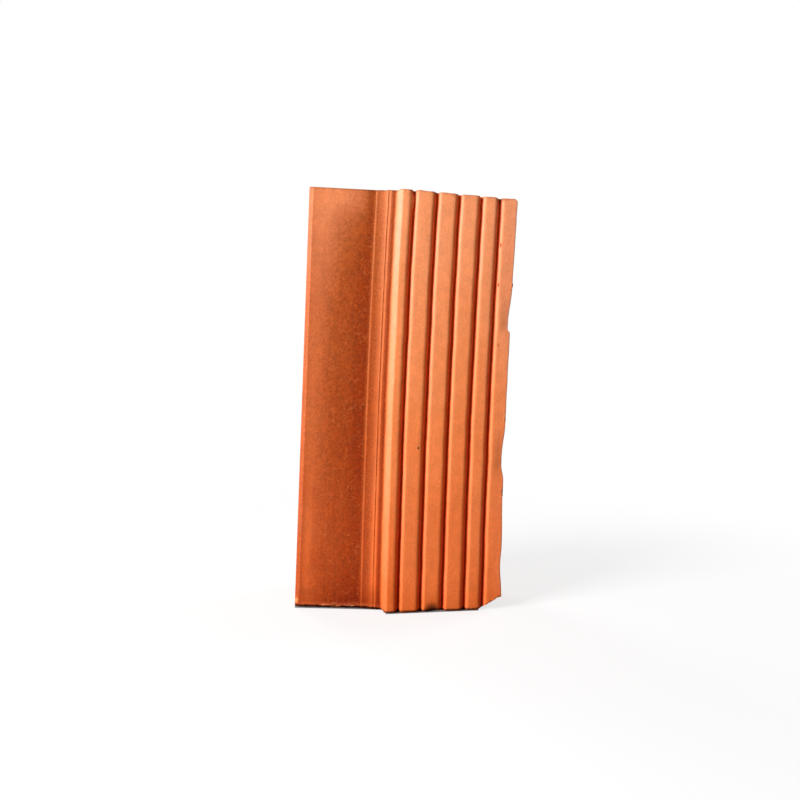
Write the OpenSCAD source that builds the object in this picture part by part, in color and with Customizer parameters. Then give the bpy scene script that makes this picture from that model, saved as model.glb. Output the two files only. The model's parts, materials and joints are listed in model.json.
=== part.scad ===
// Extruded clay brick, standing on one of its two cut ends.
// One half of its front is a smooth rebate, the other a keyed face that slopes back from a shoulder.
// X runs across the front, Y from the front to the back and Z along the extrusion.

/* [Body] */
// Length between the two cut ends
body_length = 250; // [150:1:400]
// Width across the front
body_width = 124.5; // [100:0.5:200]
// Depth from the shoulder to the back
body_depth = 65; // [45:1:120]
// Radius of the two upright edges at the back
back_radius = 3; // [0.5:0.5:8]

/* [Rebate] */
// Width of the smooth face, from the side of the brick to the die line
rebate_width = 39.4; // [20:0.1:48]
// How far the smooth face lies behind the shoulder
rebate_depth = 8.5; // [6:0.1:14]
// Width of the bevel on the outer edge of the smooth face
bevel_width = 2.6; // [0.5:0.1:6]
// Depth of that bevel
bevel_depth = 1.2; // [0.2:0.1:4]
// Radius that softens the bevel
bevel_radius = 1.2; // [0.2:0.1:3]

/* [Step] */
// Height of the die line that ends the smooth face
die_line = 0.4; // [0.1:0.1:1]
// Width of the hollow strip next to the die line
cove_width = 8.2; // [4:0.1:14]
// How much the strip rises towards the shoulder
cove_rise = 2; // [0.5:0.1:3]
// How hollow the strip is
cove_sag = 0.5; // [0.1:0.1:1]
// Radius in the middle of the strip
cove_radius = 14; // [2:1:40]
// Distance of the fine seam from the upper edge of the strip
seam_inset = 0.9; // [0.3:0.1:2]
// Width of the seam
seam_width = 0.6; // [0.2:0.1:1]
// Depth of the seam
seam_depth = 0.6; // [0.2:0.1:1.5]
// Radius of the upper edge of the strip
strip_edge = 0.6; // [0.1:0.1:1.5]
// Width of the valley between the strip and the chamfer
valley_width = 2.6; // [0.8:0.1:4]
// Depth of the valley below the strip
valley_depth = 0.9; // [0.2:0.1:2]
// Radius at the bottom of the valley
valley_radius = 0.5; // [0.1:0.1:1.5]
// Angle of the chamfer, measured from the smooth face
chamfer_angle = 63; // [35:1:80]
// Radius of the shoulder where the chamfer meets the keyed face
shoulder_radius = 1.4; // [0.4:0.1:3]

/* [Keyed face] */
// Angle by which the keyed face slopes back
face_slope = 11.8; // [0:0.1:18]
// Distance along the face from the shoulder to the middle of the first groove
first_groove = 8; // [6:0.1:14]
// Distance between the middles of two grooves
groove_pitch = 13.9; // [10:0.1:24]
// Distance along the face from the middle of the last groove to the outer edge
edge_land = 10.3; // [7:0.1:16]
// Smallest distance between the middles of the last two grooves
least_pitch = 10; // [9:0.1:14]
// Depth of a groove
groove_depth = 4.2; // [2:0.1:6]
// Width of a groove at its floor
groove_floor = 1; // [0.4:0.1:2.5]
// How far the wall on the rebate side leans
soft_lean = 0.4; // [0:0.1:1]
// Radius of the rolled land edge on the rebate side of a groove
soft_lip = 4; // [0.5:0.1:5]
// How far the wall on the other side leans
crisp_lean = 0.5; // [0:0.1:1]
// Radius of the land edge on that other side
crisp_lip = 1.4; // [0.2:0.1:2]
// Radius of the outer edge of the keyed face
arris_radius = 0.8; // [0.1:0.1:4]

/* [Damage] */
// Width of the broken lower corner, along the cut end
break_width = 13; // [5:0.5:25]
// Height of the broken corner, up the outer edge
break_height = 8; // [4:0.5:25]
// Radius of its hollow surface
break_radius = 26; // [20:1:60]
// Angle at which the break fades out towards the back
break_fade = 9; // [5:1:15]
// Distance of the upper edge dent from the upper end
upper_dent_drop = 72; // [30:1:110]
// Length of the upper edge dent
upper_dent_length = 22; // [5:1:30]
// Depth of the upper edge dent
upper_dent_bite = 2; // [0.5:0.1:4]
// Height of the lower edge dent above the lower end
lower_dent_height = 95; // [30:1:110]
// Length of the lower edge dent
lower_dent_length = 26; // [5:1:40]
// Depth of the lower edge dent
lower_dent_bite = 2; // [0.5:0.1:4]
// Angle between the keyed face and the direction in which both dents bite
dent_turn = 25; // [10:1:60]
// Distance along the face from the shoulder to the chip at the lower end
chip_place = 30; // [10:0.5:50]
// Radius of the hollow surface of the chip
chip_radius = 10; // [4:0.5:16]
// Depth of the chip
chip_bite = 2.4; // [0.3:0.1:3]

/* [Hidden] */
$fn = 96;
clay = "#d67b4e";

// Straight pieces in each rounded corner of the section
arc_steps = 8;
// How far a cutting shape reaches past the surface that it cuts
overcut = 5;

// Unit vector along v
function unit(v) = v / norm(v);

// The hollow strip between the die line and the valley, with its fine seam
cove_start = [rebate_width + die_line, rebate_depth - die_line];
cove_end = cove_start + [cove_width, -cove_rise];
cove_middle = (cove_start + cove_end) / 2 + [0, cove_sag];
up_cove = unit(cove_end - cove_middle);
seam_far = cove_end - seam_inset * up_cove;
seam_near = seam_far - seam_width * up_cove;
seam_floor = (seam_near + seam_far) / 2 + [0, seam_depth];
valley = cove_end + [valley_width, valley_depth];

// The sharp shoulder corner, whose rounded crest is the foremost line of the brick
slope_normal = [sin(face_slope), -cos(face_slope)];
chamfer_normal = [-sin(chamfer_angle), -cos(chamfer_angle)];
crest = unit(slope_normal + chamfer_normal);
shoulder_y = shoulder_radius * (1 + crest.y / (crest * slope_normal));
shoulder = [valley.x + (valley.y - shoulder_y) / tan(chamfer_angle), shoulder_y];

// Directions along the keyed face and into the clay behind it
along_face = [cos(face_slope), sin(face_slope)];
into_face = [-sin(face_slope), cos(face_slope)];
face_length = (body_width - shoulder.x) / cos(face_slope);
outer_edge = shoulder + face_length * along_face;

// Middles of the grooves, measured along the face from the shoulder
last_groove = face_length - edge_land;
even_grooves = [for (s = first_groove; s < last_groove - least_pitch; s = s + groove_pitch) s];
groove_middles = concat(even_grooves, [last_groove]);

// Corner of the section at a distance along the keyed face and a depth behind it, with its radius
function face_corner(distance, depth, radius) =
    let (p = shoulder + distance * along_face + depth * into_face)
    [p.x, p.y, radius];

// Four corners of one groove
function groove_corners(middle) = [
    face_corner(middle - groove_floor / 2 - soft_lean, 0, soft_lip),
    face_corner(middle - groove_floor / 2, groove_depth, 0),
    face_corner(middle + groove_floor / 2, groove_depth, 0),
    face_corner(middle + groove_floor / 2 + crisp_lean, 0, crisp_lip)
];

// Corners of the section, each with its radius, from the back round the rebate and the keyed face
section_corners = concat(
    [
        [0, body_depth, back_radius],
        [0, rebate_depth + bevel_depth, bevel_radius],
        [bevel_width, rebate_depth, bevel_radius],
        [rebate_width, rebate_depth, 0],
        [cove_start.x, cove_start.y, 0],
        [cove_middle.x, cove_middle.y, cove_radius],
        [seam_near.x, seam_near.y, 0],
        [seam_floor.x, seam_floor.y, 0],
        [seam_far.x, seam_far.y, 0],
        [cove_end.x, cove_end.y, strip_edge],
        [valley.x, valley.y, valley_radius],
        [shoulder.x, shoulder.y, shoulder_radius]
    ],
    [for (middle = groove_middles) each groove_corners(middle)],
    [
        [outer_edge.x, outer_edge.y, arris_radius],
        [body_width, body_depth, back_radius]
    ]
);

// Arc that rounds the corner b between a and c, held back where an edge is too short for its radius
function corner_arc(a, b, c, radius, room) =
    let (
        to_a = unit(a - b),
        to_c = unit(c - b),
        half_angle = acos(to_a * to_c) / 2,
        r = min(radius, room * tan(half_angle)),
        centre = b + unit(to_a + to_c) * r / sin(half_angle),
        first = b + to_a * r / tan(half_angle) - centre,
        start = atan2(first.y, first.x),
        turn = (180 - 2 * half_angle) * sign(cross(b - a, c - b))
    )
    [
        for (i = [0:arc_steps])
            let (angle = start + turn * i / arc_steps)
            centre + r * [cos(angle), sin(angle)]
    ];

// Place of a corner without its radius
function place(corner) = [corner.x, corner.y];

// Length of the edge between two corners that the arc at the second may use:
// half of it, or all of it where the first corner is sharp
function arc_room(from, to) = norm(place(to) - place(from)) * (from.z == 0 ? 1 : 0.5);

// Points of one corner of the outline: the corner itself where it is sharp, or else its arc
function corner_points(before, corner, after) =
    corner.z == 0
        ? [place(corner)]
        : corner_arc(
            place(before), place(corner), place(after), corner.z,
            min(arc_room(before, corner), arc_room(after, corner))
        );

// Outline through all corners, with the rounded ones drawn as arcs
function rounded_outline(corners) =
    let (count = len(corners))
    [
        for (i = [0:count - 1])
            each corner_points(corners[(i + count - 1) % count], corners[i], corners[(i + 1) % count])
    ];

// The extruded column, cut square at both ends
module column() {
    translate([-body_width / 2, -body_depth / 2, 0])
        linear_extrude(body_length)
            polygon(rounded_outline(section_corners));
}

// Moves to a point on the keyed face, at a distance from the shoulder and a height above the lower end
module at_face(distance, height) {
    p = shoulder + distance * along_face;
    translate([p.x - body_width / 2, p.y - body_depth / 2, height])
        rotate(face_slope)
            children();
}

// Hollow lower corner, deepest at the keyed face
module broken_corner() {
    chord = norm([break_width, break_height]);
    stand_off = sqrt(pow(break_radius, 2) - pow(chord / 2, 2));
    middle = [body_width / 2 - break_width / 2, break_height / 2];
    centre = middle + stand_off * [break_height, -break_width] / chord;
    reach = overcut + break_radius * sin(break_fade);
    translate([centre.x, outer_edge.y - body_depth / 2, centre.y])
        rotate(-break_fade, [break_width, 0, break_height])
            rotate([-90, 0, 0])
                translate([0, 0, -reach])
                    cylinder(r = break_radius, h = body_depth + 2 * reach);
}

// Hollow dent in the outer edge, of a length along the edge and a depth across it
module edge_dent(height, length, bite) {
    radius = (pow(length / 2, 2) + pow(bite, 2)) / (2 * bite);
    at_face(face_length, height)
        rotate(-dent_turn)
            translate([radius - bite, 0, 0])
                sphere(r = radius);
}

// Hollow chip in the keyed face, deepest at the lower end
module end_chip() {
    at_face(chip_place, 0)
        translate([0, chip_bite - chip_radius, 0])
            sphere(r = chip_radius);
}

// The whole brick, as fired and knocked about
module brick() {
    color(clay)
        difference() {
            column();
            broken_corner();
            edge_dent(body_length - upper_dent_drop, upper_dent_length, upper_dent_bite);
            edge_dent(lower_dent_height, lower_dent_length, lower_dent_bite);
            end_chip();
        }
}

brick();
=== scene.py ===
# %% [markdown]
# # Fired clay brick
# An extruded clay brick stands on its cut end. The left part of its front is a smooth rebate, the right
# part is a keyed face with grooves that slopes back from a shoulder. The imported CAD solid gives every
# size. This lesson makes a finer skin from it, bows and breaks it as the photo shows, fires the clay to
# its colours and puts the brick under a soft lamp from the left.

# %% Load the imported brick
import json
import math

import bmesh
import bpy
from mathutils import Matrix, Vector

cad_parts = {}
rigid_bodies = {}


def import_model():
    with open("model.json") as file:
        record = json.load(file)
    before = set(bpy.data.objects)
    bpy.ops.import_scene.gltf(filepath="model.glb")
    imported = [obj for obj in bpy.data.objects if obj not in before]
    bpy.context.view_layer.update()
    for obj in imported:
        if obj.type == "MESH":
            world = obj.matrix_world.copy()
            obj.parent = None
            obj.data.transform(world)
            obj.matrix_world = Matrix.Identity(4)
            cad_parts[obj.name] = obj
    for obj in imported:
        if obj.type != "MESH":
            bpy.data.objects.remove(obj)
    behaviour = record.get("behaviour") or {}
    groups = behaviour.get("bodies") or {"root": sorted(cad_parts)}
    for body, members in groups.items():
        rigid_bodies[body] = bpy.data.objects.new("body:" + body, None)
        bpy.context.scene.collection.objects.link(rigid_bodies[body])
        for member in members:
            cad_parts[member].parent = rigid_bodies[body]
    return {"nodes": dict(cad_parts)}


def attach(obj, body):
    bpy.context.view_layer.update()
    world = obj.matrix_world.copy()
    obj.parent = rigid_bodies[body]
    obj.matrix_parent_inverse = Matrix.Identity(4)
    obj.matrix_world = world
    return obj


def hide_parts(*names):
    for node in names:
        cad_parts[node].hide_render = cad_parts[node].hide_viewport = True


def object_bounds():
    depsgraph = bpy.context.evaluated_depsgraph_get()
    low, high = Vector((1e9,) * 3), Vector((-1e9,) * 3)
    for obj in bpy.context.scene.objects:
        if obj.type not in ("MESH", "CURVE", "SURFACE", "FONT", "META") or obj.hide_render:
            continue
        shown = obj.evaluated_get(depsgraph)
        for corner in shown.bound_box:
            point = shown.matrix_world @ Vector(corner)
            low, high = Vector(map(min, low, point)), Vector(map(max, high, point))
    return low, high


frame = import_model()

MM = 0.001
cad_brick = frame["nodes"]["brick"]
cad_low, cad_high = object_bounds()
length = cad_high.z
print("CAD box in mm:", [round(v / MM, 1) for v in (*cad_low, *cad_high)])

# %% [markdown]
# ## The section
# A real brick of this kind is pressed through a die, so every cross-section is the same outline. The CAD
# mesh has long thin triangles that can't be dented. Its upper end is undamaged, so the end face alone is
# kept as the outline to press the new skin from. A remesh would also give small faces, but it would blunt
# the die line and the lips of the grooves.

# %% Keep the upper end of a copy
WELD = 0.001 * MM
SAME_HEIGHT = 0.01 * MM

skin = bpy.data.objects.new("brick_skin", cad_brick.data.copy())
bpy.context.scene.collection.objects.link(skin)
skin.data.materials.clear()


def choose(piece):
    """Makes one piece the only selected and active one."""
    bpy.ops.object.select_all(action="DESELECT")
    piece.select_set(True)
    bpy.context.view_layer.objects.active = piece


def edit(piece, elements):
    """Opens one piece in edit mode, ready to select vertices, edges or faces."""
    choose(piece)
    bpy.ops.object.mode_set(mode="EDIT")
    bpy.ops.mesh.select_mode(type=elements)


def pick(piece, elements, wanted):
    """Selects the elements of the piece in edit mode that pass a test."""
    bpy.ops.mesh.select_mode(type={"verts": "VERT", "edges": "EDGE", "faces": "FACE"}[elements])
    bpy.ops.mesh.select_all(action="DESELECT")
    cage = bmesh.from_edit_mesh(piece.data)
    for item in getattr(cage, elements):
        item.select_set(wanted(item))
    cage.select_flush_mode()
    bmesh.update_edit_mesh(piece.data)


edit(skin, "VERT")
bpy.ops.mesh.select_all(action="SELECT")
bpy.ops.mesh.remove_doubles(threshold=WELD)
pick(skin, "faces", lambda face: min(v.co.z for v in face.verts) < length - SAME_HEIGHT)
bpy.ops.mesh.delete(type="FACE")
bpy.ops.mesh.select_all(action="SELECT")
bpy.ops.mesh.dissolve_faces()
bpy.ops.object.mode_set(mode="OBJECT")
print("corners of the section:", len(skin.data.vertices), "in", len(skin.data.polygons), "face")

# %% [markdown]
# ## The clay column
# The end face is bisected into small cells, finer in the front half, where the photo shows most. Then it
# is extruded down the whole length, as the clay left the die, and the upright edges are subdivided. A few
# extra rings near both ends take the wear of the arrises.

# %% Bisect the section into cells
FRONT_CELL = 1.4 * MM
BACK_CELL = 3.4 * MM
DEPTH_CELL = 2.4 * MM


def places(low, high, step):
    """Evenly spaced places between two limits, both limits left out."""
    count = round((high - low) / step)
    return [low + (high - low) * i / count for i in range(1, count)]


edit(skin, "FACE")
for y in places(cad_low.y, cad_high.y, DEPTH_CELL):
    bpy.ops.mesh.select_all(action="SELECT")
    bpy.ops.mesh.bisect(plane_co=(0, y, 0), plane_no=(0, 1, 0))
for x in places(cad_low.x, cad_high.x, FRONT_CELL):
    pick(skin, "faces", lambda face: face.calc_center_median().y < 0)
    bpy.ops.mesh.bisect(plane_co=(x, 0, 0), plane_no=(1, 0, 0))
for x in places(cad_low.x, cad_high.x, BACK_CELL):
    pick(skin, "faces", lambda face: face.calc_center_median().y > 0)
    bpy.ops.mesh.bisect(plane_co=(x, 0, 0), plane_no=(1, 0, 0))
bpy.ops.object.mode_set(mode="OBJECT")
print("cells of the end face:", len(skin.data.polygons))

# %% Press the column
RING_CUTS = (12, 11)
END_RINGS = (0.7, 2.2, 2.7)


def upright(edge):
    """True for an edge that runs along the column, not round it."""
    return abs(edge.verts[0].co.z - edge.verts[1].co.z) > SAME_HEIGHT


edit(skin, "FACE")
bpy.ops.mesh.select_all(action="SELECT")
bpy.ops.mesh.extrude_region_move(TRANSFORM_OT_translate={"value": (0, 0, -length)})
for cuts in RING_CUTS:
    pick(skin, "edges", upright)
    bpy.ops.mesh.subdivide(number_cuts=cuts)
for ring in END_RINGS:
    for z in (ring * MM, length - ring * MM):
        bpy.ops.mesh.select_all(action="SELECT")
        bpy.ops.mesh.bisect(plane_co=(0, 0, z), plane_no=(0, 0, 1))
bpy.ops.mesh.select_all(action="SELECT")
bpy.ops.mesh.normals_make_consistent(inside=False)
bpy.ops.object.mode_set(mode="OBJECT")
print("faces of the column:", len(skin.data.polygons))

# %% [markdown]
# ## Places on the section
# Some finishes belong to a place of the section: the rebate, the strip, the chamfer, the grooves. A few
# sizes of the drawing are repeated here, so that a point of the skin can be put into one of these places.
# `across` counts from the left side, `along` follows the keyed face from the shoulder, and `sunk` is how
# far a point lies behind the plane of that face, all in millimetres.

# %% Sizes of the section
REBATE_Y = -24
VALLEY = 50.6
STEP_END = 52
CHAMFER_FOOT = -25.5
GROOVES = (8, 21.9, 35.8, 49.7, 61.45)
FACE_END = 71.75
EDGE_Y = -16
SHOULDER = Vector((cad_low.x + 54.26 * MM, cad_low.y - 0.19 * MM, 0))
SLOPE = math.radians(11.8)
ALONG = Vector((math.cos(SLOPE), math.sin(SLOPE), 0))
INTO = Vector((-math.sin(SLOPE), math.cos(SLOPE), 0))
END_FACE = 0.95


def across(place):
    return (place.x - cad_low.x) / MM


def along(place):
    return (place - SHOULDER).dot(ALONG) / MM


def sunk(place):
    return (place - SHOULDER).dot(INTO) / MM


def above_floor(place):
    return place.z / MM


def below_top(place):
    return (length - place.z) / MM


def outside(normal):
    """1 for points on the sides, 0 inside the two end faces."""
    return 1 if abs(normal.z) < END_FACE else 0


def fade(low, high, value):
    """Goes smoothly from 0 at low to 1 at high."""
    t = min(max((value - low) / (high - low), 0), 1)
    return t * t * (3 - 2 * t)


def rise(stops, value):
    """Straight lines between a few stops, as in a colour ramp."""
    for (a, low), (b, high) in zip(stops, stops[1:]):
        if value <= b:
            return low + (high - low) * max(value - a, 0) / (b - a)
    return stops[-1][1]


def at_rebate(place):
    """1 on the smooth face, 0 round the left side."""
    return fade(-18, -22, place.y / MM)


# %% [markdown]
# ## Painted shade of the step
# The rebate is painted darker towards the step, as the step's shadow, but less so near the upper left
# corner. The first table says how dark it is at each place across the rebate and the step, the second
# says the same near the upper end. The last two say at which height the second table takes over, on the
# left and on the right.

# %% How dark the painted shade on the rebate is
STEP_SHADE = (
    (0, 0.6), (2.4, 0.58), (3.2, 0.46), (7, 0.44), (11, 0.57), (16, 0.72), (21, 0.8), (27, 0.85), (33, 0.95),
    (38.9, 1.0), (39.4, 0.5), (39.8, 0.5), (40.4, 0.83), (43.5, 0.64), (46.3, 0.3), (47.2, 0.45), (48, 0.25),
    (50.6, 0.85), (52, 0),
)
STEP_SHADE_TOP = (
    (0, 0.42), (3, 0.34), (12, 0.28), (18, 0.31), (25, 0.36), (30, 0.5), (33, 0.62), (36, 0.85),
    (38.9, 1.0), (39.4, 0.45), (39.8, 0.45), (40.4, 0.7), (43.5, 0.5), (46.3, 0.22), (47.2, 0.42), (48, 0.2),
    (50.6, 0.8), (52, 0),
)
TOP_LEFT = ((175, 0), (206, 0.4), (221, 0.58), (233, 0.85), (242, 1))
TOP_RIGHT = ((205, 0), (221, 0.14), (233, 0.42), (242, 1))
LIGHT_FOOT = 0.13
DARK_FOOT = 0.1


def step_shade(place, normal):
    """Painted shade of the step on the rebate: 1 beside the die line, 0 on the keyed face."""
    u, z = across(place), above_floor(place)
    if u > STEP_END or not outside(normal):
        return 0
    left, right, side = rise(TOP_LEFT, z), rise(TOP_RIGHT, z), fade(10, 27, u)
    top = left + (right - left) * side
    level = rise(STEP_SHADE, u) + (rise(STEP_SHADE_TOP, u) - rise(STEP_SHADE, u)) * top
    level -= LIGHT_FOOT * fade(110, 40, z) * fade(4, 18, z) * fade(1, 6, u)
    return (level + DARK_FOOT * fade(9, 3, z) * side) * at_rebate(place)


# %% [markdown]
# ## Pale edges and shaded grooves
# Salts come out along the edges that dry first, so the lips, the chamfer and the arrises are paler. Where the
# bevel, the chamfer and the lips face the lamp, the paleness is also a painted highlight. The grooves are
# painted darker and redder inside, and on the walls that face away from the lamp, as painted shade.

# %% How pale the edges are, with salt and painted highlights
SALT_BACK = -8
BEVEL_END, BEVEL_SALT_AND_HIGHLIGHT = 3.5, 0.25
ARRIS_SALT = 0.4
ARRIS_BAND = ((1.6, 0), (2.2, 1), (2.75, 0.8), (4, 0))
CREST_END, CHAMFER_RISE = 0.6, 7
LIP_SALT_AND_HIGHLIGHT = 0.75
TAIL_SALT, TAIL_LENGTH, FAR_FROM_LIP = 0.4, 2.2, 9
RIM_SALT, OUTER_SALT = 0.5, 0.25


def salt_and_highlight(place, normal):
    """Salt along the edges, and a painted highlight where they face the lamp: the bevel, the chamfer, the
    lips of the grooves and the outer edge.
    """
    u, s, depth = across(place), along(place), place.y / MM
    if depth > SALT_BACK or not outside(normal):
        return 0
    if u < BEVEL_END:
        # The bevel faces the lamp: salt and a painted highlight.
        return BEVEL_SALT_AND_HIGHLIGHT * fade(-19, -22.5, depth) * fade(0.1, 0.5, -normal.x)
    if u < VALLEY:
        return ARRIS_SALT * rise(ARRIS_BAND, above_floor(place)) * at_rebate(place)
    if s < CREST_END:
        # The chamfer facing the lamp: salt and a painted highlight.
        return fade(0.05, 0.75, (CHAMFER_FOOT - depth) / CHAMFER_RISE) * fade(-0.1, 0.3, -normal.x)
    # Lips facing the lamp: salt and a painted highlight; the tail and the rim are salt.
    lip = LIP_SALT_AND_HIGHLIGHT * fade(0.05, 0.6, -normal.x) * fade(2.6, 0.9, sunk(place))
    past = min((s - g - 1 for g in GROOVES if s > g + 0.8), default=FAR_FROM_LIP)
    tail = TAIL_SALT * math.exp(-max(past, 0) / TAIL_LENGTH) * fade(0.8, 0.2, sunk(place))
    rim = max(RIM_SALT * fade(3, 0.5, FACE_END - s), OUTER_SALT * fade(50, 64, s))
    return max(lip, tail, rim * fade(2.5, 0.5, sunk(place)))


# %% How much shade is painted into the grooves
FIRST_LAND = 55
GROOVES_BACK = -10
FAR_WALL = 0.8


def groove_shade(place, normal):
    """Painted shade inside the grooves, darker and redder, and on the walls that face away from the lamp."""
    if across(place) < FIRST_LAND or along(place) > FACE_END - 1 or place.y / MM > GROOVES_BACK:
        return 0
    return max(fade(-0.2, 1.8, sunk(place)), FAR_WALL * fade(0.25, 0.8, normal.x)) * outside(normal)


# %% [markdown]
# ## Marks on the skin
# Each finish is kept as an attribute of the skin, so it stays on the surface when the skin is bent or
# broken later, and the clay's material reads it. The mark `whole` is 1 everywhere. A break leaves a
# surface without it.

# %% Store the marks
WRINKLED = ((4, 0.2), (22, 1), (38.5, 1), (39.4, 0.3), (47, 0))


def cut_end(place, normal):
    """1 on the two end faces."""
    return fade(0.6, 0.95, abs(normal.z))


def rebate(place, normal):
    """How much the wrinkles of the rebate show."""
    return rise(WRINKLED, across(place)) * at_rebate(place)


def mark(piece, name, rule):
    """Stores a number between 0 and 1 on every point of the piece."""
    values = [min(max(rule(v.co, v.normal), 0), 1) for v in piece.data.vertices]
    piece.data.attributes.new(name, "FLOAT", "POINT").data.foreach_set("value", values)
    print("mark", name, "mean", round(sum(values) / len(values), 3))


mark(skin, "step_shade", step_shade)
mark(skin, "salt_and_highlight", salt_and_highlight)
mark(skin, "groove_shade", groove_shade)
mark(skin, "cut_end", cut_end)
mark(skin, "rebate", rebate)
mark(skin, "whole", lambda place, normal: 1)

# %% [markdown]
# ## A bow from drying
# The photo shows the die line and the grooves bowed a little to the left halfway up, while the left side
# is straight. Clay warps like that when one face dries first. A vertex group says how far each point
# follows, and a Displace modifier moves them along X. Clouds then move the grooves by a few tenths,
# because soft clay never leaves the die quite even.

# %% Bow and waver
BOW = -1.1 * MM
WAVER, WAVER_SIZE = 0.5 * MM, 40 * MM
TREMBLE, TREMBLE_SIZE = 0.3 * MM, 9 * MM
SWELL, SWELL_SIZE = 0.5 * MM, 45 * MM


def weigh(piece, name, rule):
    """Makes a vertex group with a weight by place for every point."""
    group = piece.vertex_groups.new(name=name)
    for v in piece.data.vertices:
        weight = rule(v.co, v.normal)
        if weight > 0:
            group.add([v.index], min(weight, 1), "REPLACE")


def cloudy(name, size, depth=2):
    """A cloud texture whose spots have about this size."""
    texture = bpy.data.textures.new(name, "CLOUDS")
    texture.noise_scale = size
    texture.noise_depth = depth
    return texture


def displace(piece, group, strength, direction="NORMAL", texture=None, middle=0.5):
    """Moves the points of a group, evenly or by a texture around its middle grey, and applies the move."""
    push = piece.modifiers.new("push", "DISPLACE")
    push.vertex_group = group
    push.strength = strength
    push.direction = direction
    push.mid_level = 0
    if texture:
        push.texture = texture
        push.texture_coords = "LOCAL"
        push.mid_level = middle
    choose(piece)
    bpy.ops.object.modifier_apply(modifier=push.name)


def bow(place, normal):
    """1 halfway up and 0 at both ends, less towards the left side."""
    return (1 - (2 * place.z / length - 1) ** 2) * fade(0, 38, across(place))


def keyed_half(place, normal):
    """1 on the keyed face, 0 on the rebate and the back."""
    return fade(30, 56, across(place)) * fade(6, -14, place.y / MM)


def between_ends(place, normal):
    """1 everywhere but close to the two ends."""
    return fade(1.5, 6, above_floor(place)) * fade(1.5, 6, below_top(place))


weigh(skin, "bow", bow)
displace(skin, "bow", BOW, "X")
weigh(skin, "keyed_half", keyed_half)
displace(skin, "keyed_half", WAVER, "X", cloudy("waver", WAVER_SIZE, 1))
displace(skin, "keyed_half", TREMBLE, "X", cloudy("tremble", TREMBLE_SIZE, 1))
weigh(skin, "all", between_ends)
displace(skin, "all", SWELL, "Y", cloudy("swell", SWELL_SIZE, 1))
print("bowed by", BOW / MM, "mm")

# %% [markdown]
# ## Dents in the outer edge
# Two knocks in the soft clay left smooth dents in the outer edge. Each starts gently at its upper end and
# stops short at its lower one. The edge moves in along X and the land beside it sinks along Y. Below them
# the edge bulges a little, and it flares out just above the broken corner. A smear closes the first
# groove near its top. A row of the table holds the name, the heights of the top, the deepest place and
# the bottom, and both moves.

# %% Press the dents
DENTS = (
    ("upper_dent", 198, 176, 169.5, 1.45, 0.5), ("lower_dent", 114, 94, 80, 1.6, 0.5),
    ("bulge", 68, 46, 28, -0.6, 0), ("flare", 26, 10, -20, -1.3, 0),
)
DEEPEST_STRETCH = 4
EDGE_REACH = (9, 0.5)
SMEAR = 0.9 * MM


def near_edge(place):
    """1 on the outer edge, 0 some way into the land or round the side."""
    depth = place.y / MM
    if depth < EDGE_Y:
        return fade(*EDGE_REACH, FACE_END - along(place))
    return fade(8, EDGE_Y, depth) * fade(*EDGE_REACH, (cad_high.x - place.x) / MM)


for name, top, deepest, bottom, bite, sink in DENTS:
    def dent(place, normal):
        z = above_floor(place)
        return near_edge(place) * min(fade(top, deepest, z), fade(bottom, deepest - DEEPEST_STRETCH, z))
    weigh(skin, name, dent)
    displace(skin, name, -bite * MM, "X")
    if sink:
        displace(skin, name, sink * MM, "Y")


def smear(place, normal):
    """Clay that was wiped into the first groove near the upper end."""
    s, z = along(place), above_floor(place)
    return fade(5, 6.8, s) * fade(8, 7.6, s) * fade(238, 241, z) * fade(248, 246, z) * fade(5, 4, sunk(place))


weigh(skin, "smear", smear)
displace(skin, "smear", SMEAR, "X")
print("dents:", len(DENTS))

# %% [markdown]
# ## Worn arrises
# The wire that cuts the column leaves ragged arrises, and they crumble when the brick is set down. Under
# the rebate the arris is undercut, so a gap shows there, painted dark as shade, and a hollow is scooped out
# under the third land, where the drawing has its chip. The rings near the ends move inwards, by an amount
# that a fine cloud texture changes from place to place. Each table says how much is moved or darkened at a
# distance from the end.

# %% Where the ends are worn
UNDERCUT_STOPS = ((0, 1), (0.7, 0.86), (1.6, 0.5), (2.2, 0.05), (2.7, 0))
KEYED_STOPS = ((0, 0.36), (0.7, 0.3), (1.6, 0))
LOWER_WEAR = ((0, 0.8), (0.7, 0.6), (2.2, 0))
UPPER_WEAR = ((0, 0.4), (0.7, 0.12), (2.2, 0))
RAGGED_STOPS = ((0.6, 0), (1.6, 0.8), (2.75, 1), (4, 0))
SCOOP_PLACE, SCOOP_RADIUS = 30, 7.5
FOLLOW_REACH = 14


def follow(place):
    """1 on the front, falling to 0 some way behind it: the end face makes room for its moving edge."""
    behind = sunk(place) if across(place) > STEP_END else place.y / MM - REBATE_Y
    return min(max(1 - behind / FOLLOW_REACH, 0), 1)


def below_rebate(place):
    """1 on the rebate and the strip, 0 on the keyed face."""
    return fade(54, 49, across(place))


def undercut(place, normal):
    z, side = above_floor(place), below_rebate(place)
    gap = side * rise(UNDERCUT_STOPS, z) + (1 - side) * rise(KEYED_STOPS, z)
    return gap * follow(place)


def worn(place, normal):
    lower = rise(LOWER_WEAR, above_floor(place)) * fade(48, 52, across(place))
    return max(lower, rise(UPPER_WEAR, below_top(place))) * outside(normal)


def ragged(place, normal):
    return rise(RAGGED_STOPS, above_floor(place)) * fade(-18, -23, place.y / MM) * below_rebate(place)


def scoop(place, normal):
    """The hollow chip under the third land, deepest at the floor."""
    far = math.hypot(along(place) - SCOOP_PLACE, above_floor(place)) / SCOOP_RADIUS
    return fade(1, 0, far) * follow(place)


# %% [markdown]
# ## Painted shade and smudges
# The hollows, the line of contact with the floor and the upper edge are painted dark as shade. A few smudges
# at the upper end are dark marks as well. A row of the smudges holds the place along the keyed face, the
# reach and how dark it is.

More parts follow.
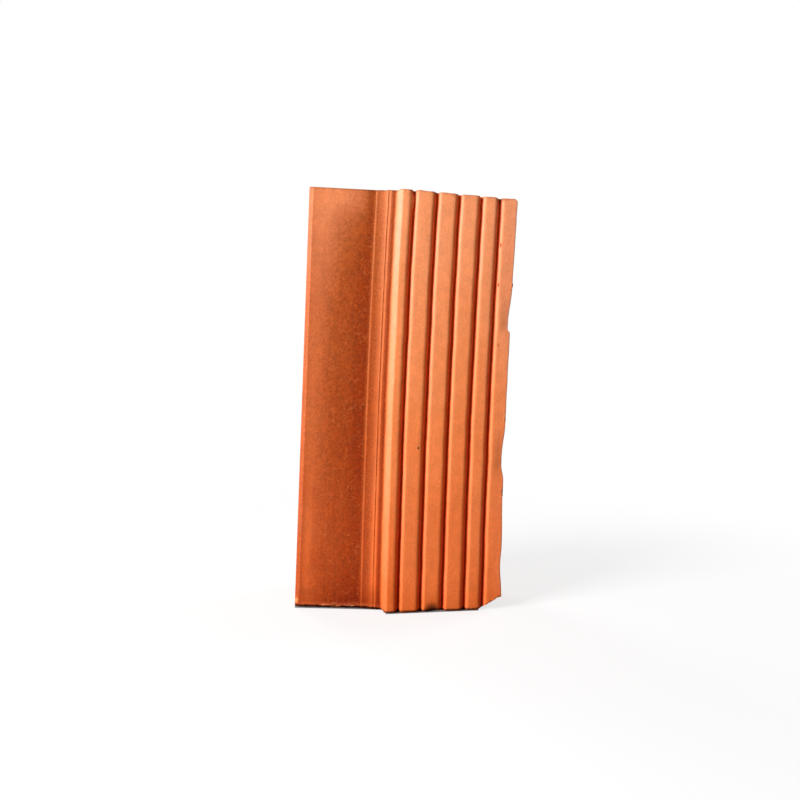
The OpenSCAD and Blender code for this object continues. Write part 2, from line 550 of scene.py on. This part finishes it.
# %% Where shade is painted and the smudges lie
CONTACT, CONTACT_STOPS = 0.95, ((0, 1), (0.7, 0.7), (1.7, 0))
BRIM, BRIM_STOPS = 0.45, ((0, 1), (0.7, 0.5), (1.5, 0))
SCOOP_SHADE = 1.1
SMUDGES = ((31, 3.5, 0.45), (61.5, 3.5, 0.95), (64.5, 2.2, 0.8), (8, 2.5, 0.7))


# Painted shade at the contact line, the upper edge, the undercut and the scoop; the smudges are dark marks.
def shade_and_smudge(place, normal):
    s, top = along(place), below_top(place)
    contact = CONTACT * rise(CONTACT_STOPS, above_floor(place))
    brim = BRIM * rise(BRIM_STOPS, top)
    smudge = max(dark * fade(reach, 0, math.hypot(s - spot, top)) for spot, reach, dark in SMUDGES)
    front = fade(-8, -14, place.y / MM) * outside(normal)
    hollow = max(undercut(place, normal), SCOOP_SHADE * scoop(place, normal))
    return max(hollow, max(contact, brim, smudge) * front)


# %% Wear the two ends
SCOOP = 2.8 * MM
UNDERCUT = 3.4 * MM
RAGGED, RAGGED_SIZE = 1.8 * MM, 4 * MM
WORN = 0.4 * MM
CRUMBLE, CRUMBLE_SIZE, MOSTLY_INWARDS = 1.3 * MM, 3 * MM, 0.9

mark(skin, "shade_and_smudge", shade_and_smudge)
weigh(skin, "scoop", scoop)
weigh(skin, "undercut", undercut)
weigh(skin, "ragged", ragged)
weigh(skin, "worn", worn)
displace(skin, "scoop", SCOOP, "Y")
displace(skin, "undercut", UNDERCUT, "Y")
displace(skin, "ragged", RAGGED, "Z", cloudy("ragged", RAGGED_SIZE))
displace(skin, "worn", -WORN)
displace(skin, "worn", CRUMBLE, "NORMAL", cloudy("crumble", CRUMBLE_SIZE), MOSTLY_INWARDS)
edit(skin, "VERT")
pick(skin, "verts", lambda v: v.co.z < 0)
sunken = skin.data.total_vert_sel
bpy.ops.transform.resize(value=(1, 1, 0), center_override=(0, 0, 0))
bpy.ops.object.mode_set(mode="OBJECT")
print("points set back on the floor:", sunken)

# %% [markdown]
# ## Broken clay
# Fired clay breaks in small shells. Each break is a rough ball or roller that is taken out of the skin
# with a Boolean. The large one lies where the drawing has it, at the lower corner. The small chips along
# the ends and the pits in the lands are only here.

# %% Make the cutters
SHELL_SIZE = 4 * MM
CRUMB_SIZE = 1.2 * MM
CRUMB_SHARE = 0.4

damage = bpy.data.collections.new("damage")
bpy.context.scene.collection.children.link(damage)
shell_grain = cloudy("shell_grain", SHELL_SIZE)
crumb_grain = cloudy("crumb_grain", CRUMB_SIZE)


def roughen(cutter, bite):
    """Makes a smooth cutter uneven, first in shells and then in crumbs, and keeps it for the Boolean."""
    weigh(cutter, "all", lambda place, normal: 1)
    displace(cutter, "all", bite, "NORMAL", shell_grain)
    displace(cutter, "all", bite * CRUMB_SHARE, "NORMAL", crumb_grain)
    for collection in cutter.users_collection:
        collection.objects.unlink(cutter)
    damage.objects.link(cutter)


def ball(place, radii, bite, shade_level=0.0):
    """A rough ball at a place, all in millimetres. Its shade level paints shade on the surface that it
    leaves.
    """
    bpy.ops.object.select_all(action="DESELECT")
    bpy.ops.mesh.primitive_ico_sphere_add(subdivisions=4, radius=MM)
    cutter = bpy.context.object
    bpy.ops.transform.resize(value=radii)
    cutter.rotation_euler.z = SLOPE
    cutter.location = Vector(place) * MM
    bpy.ops.object.transform_apply(location=True, rotation=True, scale=True)
    roughen(cutter, bite * MM)
    shade_mark = cutter.data.attributes.new("shade_and_smudge", "FLOAT", "POINT")
    shade_mark.data.foreach_set("value", [shade_level] * len(cutter.data.vertices))


def on_face(distance, height, out):
    """A place in millimetres: along the keyed face from the shoulder, above the floor, and out from it."""
    place = SHOULDER + (ALONG * distance - INTO * out + Vector((0, 0, height))) * MM
    return (place + Vector((bow(place, None) * BOW, 0, 0))) / MM


# %% Break the lower corner
BREAK = Vector((70.5, -17.9, -17.0))
BREAK_CHORD = Vector((13, 0, 8))
BREAK_RADIUS = 26 * MM
BREAK_FADE = math.radians(-9)
BREAK_ROUGH = 1.6 * MM
ROLLER_LENGTH = 83 * MM
ROLLER_BACK = 32.5 * MM
ROLLER_SIDES, ROLLER_CUTS = 200, 80

bpy.ops.object.select_all(action="DESELECT")
bpy.ops.mesh.primitive_cylinder_add(vertices=ROLLER_SIDES, radius=BREAK_RADIUS, depth=ROLLER_LENGTH)
corner = bpy.context.object
edit(corner, "EDGE")
pick(corner, "edges", upright)
bpy.ops.mesh.subdivide(number_cuts=ROLLER_CUTS)
bpy.ops.object.mode_set(mode="OBJECT")
lean = Matrix.Rotation(BREAK_FADE, 4, BREAK_CHORD)
lie = Matrix.Rotation(math.radians(-90), 4, "X") @ Matrix.Translation((0, 0, ROLLER_BACK))
corner.matrix_world = Matrix.Translation(BREAK * MM) @ lean @ lie
bpy.ops.object.transform_apply(location=True, rotation=True, scale=True)
roughen(corner, BREAK_ROUGH)
print("roller:", len(corner.data.vertices), "points")

# %% [markdown]
# A row of the next tables holds the place along the keyed face, the height, how far out the middle of the
# ball lies, its radii and how rough it is. The chips of the rebate have a place across it, a height and
# their radii.

# %% Chip the ends and pit the lands
CHIPS = (
    (1.2, 0, 1.6, (3.2, 3, 2.6), 1.2), (4.6, -0.4, 1.2, (2.4, 2.4, 1.8), 1.0),
    (13.5, -0.6, 1.4, (3, 2.4, 1.8), 0.9), (41, -0.6, 1.4, (2.6, 2.4, 2), 0.9),
    (52.4, 0.2, 1.2, (2, 2.2, 2.6), 0.9), (57, -0.4, 1.5, (3, 2.6, 1.6), 0.9),
    (8.1, 249.6, 2.4, (1.8, 4.2, 1.5), 0.6), (60.6, 250.2, 1.0, (2.4, 3.6, 1.4), 0.7),
    (64, 250.4, 1.4, (3, 3, 1.3), 0.8), (71.8, 250.6, 0.6, (1.6, 4, 1.8), 0.6),
    (47, 250.6, 1.6, (4, 3, 1.2), 0.6),
)
PITS = (
    (17.3, 99, 0.6, (0.6, 1.1, 1.2), 0.3), (62.4, 222, 0.4, (0.7, 1.4, 1.6), 0.3),
    (62.5, 198, 0.3, (0.6, 1.2, 1.2), 0.3), (64.5, 162, 0.7, (0.5, 1.0, 0.6), 0.2),
    (71.7, 73, 0.7, (0.9, 1.3, 1.3), 0.4),
)
# The pits are painted dark, as shade.
PIT_SHADE = 0.7
REBATE_CHIPS = (
    (-38, 0.4, (4, 3.4, 2.6)), (-45, 1.4, (3.2, 2, 1.8)), (-30, 1.2, (3.6, 2, 2)), (-61.6, 5, (1, 3, 2)),
)
REBATE_CHIP_Y, REBATE_CHIP_ROUGH = -24.6, 1.0

for distance, height, out, radii, rough in CHIPS:
    ball(on_face(distance, height, out), radii, rough)
for distance, height, out, radii, rough in PITS:
    ball(on_face(distance, height, out), radii, rough, PIT_SHADE)
for x, z, radii in REBATE_CHIPS:
    ball((x, REBATE_CHIP_Y, z), radii, REBATE_CHIP_ROUGH)

# %% Cut them out


def combine(operation):
    """Takes the rough pieces out of the skin, or adds them to it, and removes them."""
    change = skin.modifiers.new("breaks", "BOOLEAN")
    change.operation = operation
    change.solver = "MANIFOLD"
    change.operand_type = "COLLECTION"
    change.collection = damage
    choose(skin)
    bpy.ops.object.modifier_apply(modifier=change.name)
    for piece in list(damage.objects):
        bpy.data.objects.remove(piece)


combine("DIFFERENCE")
print("faces after the breaks:", len(skin.data.polygons))

# %% [markdown]
# ## Burrs
# A few crumbs still cling to the edges: one above each dent, one further down the outer edge, and one
# under the rebate. They are made like the cutters, but added to the skin.

# %% Add the burrs
BURRS = (
    (71.4, 198.5, -0.6, (0.6, 0.9, 1.6), 0.5), (71.1, 117.5, -0.6, (0.6, 0.9, 1.8), 0.5),
    (71.3, 71, -0.6, (0.6, 0.9, 1.3), 0.4),
)
# The burrs are painted dark, as the shade under the nibs.
BURR_SHADE = 0.8
REBATE_BURR, REBATE_BURR_RADII, REBATE_BURR_ROUGH = (-44.5, -23.9, 2.5), (1.8, 0.45, 0.45), 0.5
SMOOTH_BELOW = math.radians(32)

for distance, height, out, radii, rough in BURRS:
    ball(on_face(distance, height, out), radii, rough, BURR_SHADE)
ball(REBATE_BURR, REBATE_BURR_RADII, REBATE_BURR_ROUGH)
combine("UNION")
bpy.data.collections.remove(damage)
bpy.ops.object.shade_smooth_by_angle(angle=SMOOTH_BELOW)
skin.data.materials.clear()
skin.data.calc_loop_triangles()
print("triangles with the burrs:", len(skin.data.loop_triangles))

# %% [markdown]
# ## Node helpers
# The material is built from a few kinds of nodes. These helpers add one node each and plug its inputs, so
# the cells below read like sentences about the clay.

# %% Helpers for nodes


def add(tree, kind, **settings):
    """Adds a node and sets its properties."""
    node = tree.nodes.new(kind)
    for key, value in settings.items():
        setattr(node, key, value)
    return node


def plug(tree, value, socket):
    """Links the output of another node, or sets a plain value."""
    if isinstance(value, bpy.types.NodeSocket):
        tree.links.new(value, socket)
    else:
        socket.default_value = value


def calc(tree, operation, a, b=0.0):
    """A sum, product or comparison of two numbers."""
    node = add(tree, "ShaderNodeMath", operation=operation)
    plug(tree, a, node.inputs[0])
    plug(tree, b, node.inputs[1])
    return node.outputs[0]


def spread(tree, value, low, high, new_low=0.0, new_high=1.0):
    """Maps a range of values to another one, with soft ends."""
    node = add(tree, "ShaderNodeMapRange", interpolation_type="SMOOTHSTEP")
    for socket, number in zip(node.inputs, (value, low, high, new_low, new_high)):
        plug(tree, number, socket)
    return node.outputs[0]


def blend(tree, factor, a, b, kind="MIX"):
    """Goes from colour a to colour b, or multiplies them."""
    node = add(tree, "ShaderNodeMix", data_type="RGBA", blend_type=kind)
    for socket, value in ((node.inputs[0], factor), (node.inputs[6], a), (node.inputs[7], b)):
        plug(tree, value, socket)
    return node.outputs[2]


def noise(tree, place, spots, detail=2.0):
    """Noise whose spots have about this size in millimetres along X, Y and Z."""
    grid = add(tree, "ShaderNodeMapping")
    plug(tree, place, grid.inputs["Vector"])
    grid.inputs["Scale"].default_value = [1 / (size * MM) for size in spots]
    cloud = add(tree, "ShaderNodeTexNoise")
    cloud.inputs["Scale"].default_value = 1
    cloud.inputs["Detail"].default_value = detail
    plug(tree, grid.outputs["Vector"], cloud.inputs["Vector"])
    return cloud.outputs["Fac"]


def group(name, inputs, output):
    """An empty node group with a place, some numbers going in, and one value coming out."""
    tree = bpy.data.node_groups.new(name, "ShaderNodeTree")
    tree.interface.new_socket("Place", in_out="INPUT", socket_type="NodeSocketVector")
    for label in inputs:
        tree.interface.new_socket(label, in_out="INPUT", socket_type="NodeSocketFloat")
    tree.interface.new_socket(output, in_out="OUTPUT", socket_type="NodeSocketFloat")
    return tree, add(tree, "NodeGroupInput").outputs, add(tree, "NodeGroupOutput").inputs


def use(tree, part, *values):
    """Puts a node group into a tree and plugs its inputs."""
    node = add(tree, "ShaderNodeGroup", node_tree=part)
    for socket, value in zip(node.inputs, values):
        plug(tree, value, socket)
    return node.outputs[0]


# %% [markdown]
# ## Shared effects
# Three effects are kept as node groups. *Hairlines* are the thin wrinkles that the die drags into wet
# clay. They are the narrow band where a noise is close to its middle value, and a second noise breaks
# them into short pieces. *Grain* is the sandy texture of fired clay, with some drag along the extrusion.
# *Pinholes* are small pits where a grain of lime or straw burned out.

# %% Hairlines
MIDDLE_GREY = 0.5
SOFT_END = 0.1

hairlines, given, result = group("hairlines", ("Width", "Few"), "Mask")
bent = noise(hairlines, given["Place"], (3.2, 3.2, 3.8), 1.0)
near_middle = calc(hairlines, "ABSOLUTE", calc(hairlines, "SUBTRACT", bent, MIDDLE_GREY))
line = spread(hairlines, near_middle, given["Width"], 0.0)
gaps = noise(hairlines, given["Place"], (4.5, 4.5, 5), 1.0)
pieces = spread(hairlines, gaps, given["Few"], calc(hairlines, "ADD", given["Few"], SOFT_END))
plug(hairlines, calc(hairlines, "MULTIPLY", line, pieces), result["Mask"])

# %% Grain
SAND_SHARE, DRAG_SHARE = 0.75, 0.25

grain, given, result = group("grain", (), "Height")
sand = noise(grain, given["Place"], (1.3, 1.3, 1.3), 3.0)
drag = noise(grain, given["Place"], (1.1, 1.1, 26), 2.0)
sand_part = calc(grain, "MULTIPLY", sand, SAND_SHARE)
drag_part = calc(grain, "MULTIPLY", drag, DRAG_SHARE)
plug(grain, calc(grain, "ADD", sand_part, drag_part), result["Height"])

# %% Pinholes
PINHOLE_PITCH = 9 * MM

pinholes, given, result = group("pinholes", ("Size",), "Mask")
cells = add(pinholes, "ShaderNodeTexVoronoi", feature="F1")
cells.inputs["Scale"].default_value = 1 / PINHOLE_PITCH
plug(pinholes, given["Place"], cells.inputs["Vector"])
plug(pinholes, spread(pinholes, cells.outputs["Distance"], given["Size"], 0.0), result["Mask"])
print("groups:", [part.name for part in (hairlines, grain, pinholes)])

# %% [markdown]
# ## Fired clay
# The colour starts with the body of the clay, painted darker and redder towards the lower end as painted
# shade, with the light falling from above. The marks stored on the skin then paint the step's shadow on the
# rebate, paint shade into the grooves and pale the edges with salt and painted highlights. Patches, grain and
# drag lines vary all of it, so no place is one flat colour. Broken clay shows a lighter, sandier inside.

# %% Body and marks
BODY_SHADED_BELOW = (
    (0.03, (0.78, 0.145, 0.026)), (0.13, (0.856, 0.18, 0.042)), (0.49, (0.905, 0.243, 0.071)),
    (0.89, (0.938, 0.311, 0.124)), (1.0, (0.94, 0.32, 0.13)),
)
# Colours of the painted shade on the rebate, from none to darkest.
STEP_SHADE_COLOURS = (
    (0.0, (1, 1, 1)), (0.4, (0.52, 0.42, 0.37)), (0.78, (0.345, 0.208, 0.094)), (1.0, (0.243, 0.095, 0.015)),
)
GROOVE_SHADE_TINT = (0.85, 0.5, 0.22, 1)
SALT_AND_HIGHLIGHT_TINT = (0.95, 1.1, 1.69, 1)

clay = bpy.data.materials.new("fired_clay")
clay.use_nodes = True
tree = clay.node_tree
shader = tree.nodes["Principled BSDF"]
skin.data.materials.append(clay)
place = add(tree, "ShaderNodeTexCoord").outputs["Object"]


def stored(name):
    """A mark of the skin."""
    return add(tree, "ShaderNodeAttribute", attribute_name=name).outputs["Fac"]


def ramp(value, stops):
    """A colour ramp with the given places and colours."""
    node = add(tree, "ShaderNodeValToRGB")
    elements = node.color_ramp.elements
    elements[0].position, elements[1].position = stops[0][0], stops[-1][0]
    for position, _ in stops[1:-1]:
        elements.new(position)
    for element, (_, colour) in zip(elements, stops):
        element.color = (*colour, 1)
    plug(tree, value, node.inputs["Fac"])
    return node.outputs["Color"]


split = add(tree, "ShaderNodeSeparateXYZ")
plug(tree, place, split.inputs[0])
patch = spread(tree, noise(tree, place, (26, 26, 40)), 0.25, 0.75, -0.07, 0.07)
# Painted shade: the body is darker and redder towards the lower end.
body = ramp(calc(tree, "ADD", calc(tree, "DIVIDE", split.outputs["Z"], length), patch), BODY_SHADED_BELOW)
# The step's shadow is painted on the rebate.
colour = blend(tree, 1.0, body, ramp(stored("step_shade"), STEP_SHADE_COLOURS), "MULTIPLY")
# Painted shade in the grooves, darker and redder.
groove_shaded = blend(tree, 1.0, colour, GROOVE_SHADE_TINT, "MULTIPLY")
colour = blend(tree, stored("groove_shade"), colour, groove_shaded)
streaks = spread(tree, noise(tree, place, (3, 3, 14)), 0.2, 0.6, 0.6, 1.0)
# Salt and painted highlights along the edges.
salted_and_lit = blend(tree, 1.0, body, SALT_AND_HIGHLIGHT_TINT, "MULTIPLY")
colour = blend(tree, calc(tree, "MULTIPLY", stored("salt_and_highlight"), streaks), colour, salted_and_lit)
print("nodes of the body:", len(tree.nodes))

# %% Texture of the skin
HAIRLINE_WIDTH, HAIRLINE_FEW = 0.026, 0.44
WRINKLE_SHOWS, WRINKLE_COLOUR = 0.22, (0.72, 0.22, 0.06, 1)
PINHOLE_SIZE = 0.045
PINHOLE_SHOWS, PINHOLE_COLOUR = 0.7, (0.12, 0.03, 0.01, 1)

sandy = use(tree, grain, place)
mottle = noise(tree, place, (5, 5, 7), 3.0)
coarse = spread(tree, sandy, 0.3, 0.7, -0.14, 0.14)
bright = spread(tree, noise(tree, place, (0.7, 0.7, 0.7), 1.0), 0.5, 0.8, -0.03, 0.16)
# Speckles show more in the painted shade of the rebate.
contrast = spread(tree, stored("step_shade"), 0.1, 0.9, 0.45, 1.5)
speckle = calc(tree, "MULTIPLY", calc(tree, "ADD", coarse, bright), contrast)
tone = calc(tree, "ADD", calc(tree, "ADD", 1.0, speckle), spread(tree, mottle, 0.3, 0.7, -0.05, 0.05))
tinted = add(tree, "ShaderNodeHueSaturation")
plug(tree, tone, tinted.inputs["Value"])
plug(tree, colour, tinted.inputs["Color"])
wrinkles = calc(tree, "MULTIPLY", use(tree, hairlines, place, HAIRLINE_WIDTH, HAIRLINE_FEW), stored("rebate"))
wrinkled = calc(tree, "MULTIPLY", wrinkles, WRINKLE_SHOWS)
colour = blend(tree, wrinkled, tinted.outputs["Color"], WRINKLE_COLOUR)
pits = use(tree, pinholes, place, PINHOLE_SIZE)
colour = blend(tree, calc(tree, "MULTIPLY", pits, PINHOLE_SHOWS), colour, PINHOLE_COLOUR)
print("nodes with the texture:", len(tree.nodes))

# %% Breaks, painted shade and smudges, and cut ends
INSIDE = ((0.3, (0.5, 0.1, 0.025)), (0.5, (0.78, 0.19, 0.06)), (0.68, (0.86, 0.32, 0.15)))
SHADE_AND_SMUDGE_SHOWS, SHADE_AND_SMUDGE_COLOUR = 0.93, (0.05, 0.009, 0.002, 1)
SAWN_COLOUR = (0.5, 0.13, 0.05, 1)

broken = calc(tree, "SUBTRACT", 1.0, stored("whole"))
crumbs = noise(tree, place, (1.6, 1.6, 1.6), 3.0)
colour = blend(tree, broken, colour, ramp(crumbs, INSIDE))
# Painted shade in the hollows, along the floor and the upper edge, and dark smudges.
colour = blend(tree, calc(tree, "MULTIPLY", stored("shade_and_smudge"), SHADE_AND_SMUDGE_SHOWS), colour, SHADE_AND_SMUDGE_COLOUR)
wire_marks = spread(tree, noise(tree, place, (40, 0.8, 1), 2.0), 0.4, 0.65, 0.0, 0.45)
sawn = calc(tree, "MULTIPLY", stored("cut_end"), wire_marks)
colour = blend(tree, sawn, colour, SAWN_COLOUR)
plug(tree, colour, shader.inputs["Base Color"])
print("nodes with the breaks:", len(tree.nodes))

# %% Roughness and relief
SHEEN = 0.12
WRINKLE_RELIEF = 0.35
PINHOLE_RELIEF = 1.5
RELIEF_STRENGTH, RELIEF_HEIGHT = 0.4, 0.3 * MM

plug(tree, spread(tree, mottle, 0.3, 0.7, 0.78, 0.92), shader.inputs["Roughness"])
shader.inputs["Specular IOR Level"].default_value = SHEEN
relief = calc(tree, "ADD", sandy, calc(tree, "MULTIPLY", wrinkles, WRINKLE_RELIEF))
relief = calc(tree, "SUBTRACT", relief, calc(tree, "MULTIPLY", pits, PINHOLE_RELIEF))
relief = calc(tree, "ADD", relief, calc(tree, "MULTIPLY", broken, crumbs))
relief = calc(tree, "ADD", relief, sawn)
bump = add(tree, "ShaderNodeBump")
bump.inputs["Strength"].default_value = RELIEF_STRENGTH
bump.inputs["Distance"].default_value = RELIEF_HEIGHT
plug(tree, relief, bump.inputs["Height"])
plug(tree, bump.outputs["Normal"], shader.inputs["Normal"])
print("nodes of the clay:", len(tree.nodes))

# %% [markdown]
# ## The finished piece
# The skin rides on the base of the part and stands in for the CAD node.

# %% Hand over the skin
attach(skin, "root")
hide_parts("brick")
print("handed over:", skin.name)

# %% [markdown]
# ## Floor, lamps and camera
# The brick stands on a pale floor that fades to white around it. The floor shows the shadow, but sends
# little light back. Under the brick itself it doesn't glow and is painted dark, as shade, so the gap under
# the rebate stays dark. One soft lamp stands low at the front left. It lights the lips and leaves the far
# sides of the grooves dark.
# Two weak lamps behind the brick are there for the other views.

# %% Floor
FLOOR_SIZE = 8

bpy.ops.object.select_all(action="DESELECT")
bpy.ops.mesh.primitive_plane_add(size=FLOOR_SIZE)
floor = bpy.context.object
floor.name = "floor"
paper = bpy.data.materials.new("pale_floor")
paper.use_nodes = True
floor.data.materials.append(paper)
tree = paper.node_tree
matte = tree.nodes["Principled BSDF"]
matte.inputs["Roughness"].default_value = 1
matte.inputs["Specular IOR Level"].default_value = 0
print("floor:", floor.name, "with", paper.name)

# %% The floor under the brick, painted dark as shade
KEYS_INSET = 0.7 * MM
REBATE_LINE = -23.2 * MM
BREAK_LINE = 49.5 * MM

where = add(tree, "ShaderNodeTexCoord").outputs["Object"]
spot = add(tree, "ShaderNodeSeparateXYZ")
plug(tree, where, spot.inputs[0])
floor_x, floor_y = spot.outputs["X"], spot.outputs["Y"]
into = add(tree, "ShaderNodeVectorMath", operation="DOT_PRODUCT")
plug(tree, where, into.inputs[0])
into.inputs[1].default_value = INTO
behind_keys = calc(tree, "GREATER_THAN", into.outputs["Value"], SHOULDER.dot(INTO) + KEYS_INSET)
past_shoulder = calc(tree, "GREATER_THAN", floor_x, SHOULDER.x)
behind_rebate = calc(tree, "MAXIMUM", calc(tree, "GREATER_THAN", floor_y, REBATE_LINE), past_shoulder)
shade_under_brick = calc(tree, "MULTIPLY", behind_keys, behind_rebate)
for axis, side, limit in (
    (floor_x, "GREATER_THAN", cad_low.x),
    (floor_x, "LESS_THAN", BREAK_LINE),
    (floor_y, "LESS_THAN", cad_high.y),
):
    shade_under_brick = calc(tree, "MULTIPLY", shade_under_brick, calc(tree, side, axis, limit))
print("nodes for the floor under the brick:", len(tree.nodes))

# %% White around the brick
FADE_START, FADE_END = 0.15, 0.55
WHITE_NEARBY = 0.72
PAPER_SEEN = (0.9, 0.9, 0.9, 1)
PAPER_SENDS = (0.3, 0.3, 0.3, 1)

seen = add(tree, "ShaderNodeLightPath").outputs["Is Camera Ray"]
shown = calc(tree, "MULTIPLY", seen, calc(tree, "SUBTRACT", 1.0, shade_under_brick))
distance = add(tree, "ShaderNodeVectorMath", operation="LENGTH")
plug(tree, where, distance.inputs[0])
whiter = spread(tree, distance.outputs["Value"], FADE_START, FADE_END, WHITE_NEARBY, 1.0)
# Under the brick the camera sees the dark paper: painted shade.
plug(tree, blend(tree, shown, PAPER_SENDS, PAPER_SEEN), matte.inputs["Base Color"])
glow = add(tree, "ShaderNodeEmission")
both = add(tree, "ShaderNodeMixShader")
plug(tree, calc(tree, "MULTIPLY", shown, whiter), both.inputs[0])
plug(tree, matte.outputs[0], both.inputs[1])
plug(tree, glow.outputs[0], both.inputs[2])
plug(tree, both.outputs[0], tree.nodes["Material Output"].inputs["Surface"])
print("nodes of the floor:", len(tree.nodes))

# %% Lamps
LAMPS = (
    ("key_lamp", -50, 18, 1.25, 0.5, 27.5),
    ("right_lamp", 125, 25, 1.5, 0.6, 11),
    ("left_lamp", -145, 30, 1.5, 0.6, 7.5),
)


def soft_lamp(name, azimuth, elevation, distance, size, power):
    """A square lamp that looks at the middle of the brick. Azimuth 0 is in front, and left is negative."""
    a, e = math.radians(azimuth), math.radians(elevation)
    towards = Vector((math.sin(a) * math.cos(e), -math.cos(a) * math.cos(e), math.sin(e)))
    light = bpy.data.lights.new(name, "AREA")
    light.size = size
    light.energy = power
    lamp = bpy.data.objects.new(name, light)
    lamp.location = towards * distance + Vector((0, 0, length / 2))
    lamp.rotation_euler = towards.to_track_quat("Z", "Y").to_euler()
    bpy.context.scene.collection.objects.link(lamp)


for settings in LAMPS:
    soft_lamp(*settings)
print("lamps:", [settings[0] for settings in LAMPS])

# %% World
AMBIENT = (0.14, 0.14, 0.14, 1)
WHITE = (1, 1, 1, 1)

world = bpy.data.worlds.new("studio")
bpy.context.scene.world = world
world.use_nodes = True
tree = world.node_tree
seen = add(tree, "ShaderNodeLightPath").outputs["Is Camera Ray"]
plug(tree, blend(tree, seen, AMBIENT, WHITE), tree.nodes["Background"].inputs["Color"])
bpy.context.scene.view_settings.view_transform = "Standard"
print("world:", world.name)

# %% Camera
EYE = Vector((-0.03415, -0.5286, 0.1507))
AHEAD = Vector((0.0594, 0.9971, -0.0469)).normalized()
ROLL = math.radians(-2.33)
SENSOR_WIDTH, FOCAL_LENGTH = 36, 38.25

level_up = (Vector((0, 0, 1)) - AHEAD * AHEAD.z).normalized()
up = level_up * math.cos(ROLL) + AHEAD.cross(level_up) * math.sin(ROLL)
lens = bpy.data.cameras.new("photo_camera")
lens.sensor_width = SENSOR_WIDTH
lens.lens = FOCAL_LENGTH
camera = bpy.data.objects.new("photo_camera", lens)
camera.matrix_world = Matrix((AHEAD.cross(up), up, -AHEAD)).transposed().to_4x4()
camera.matrix_world.translation = EYE
bpy.context.scene.collection.objects.link(camera)
bpy.context.scene.camera = camera
print("camera at", [round(v, 3) for v in EYE])
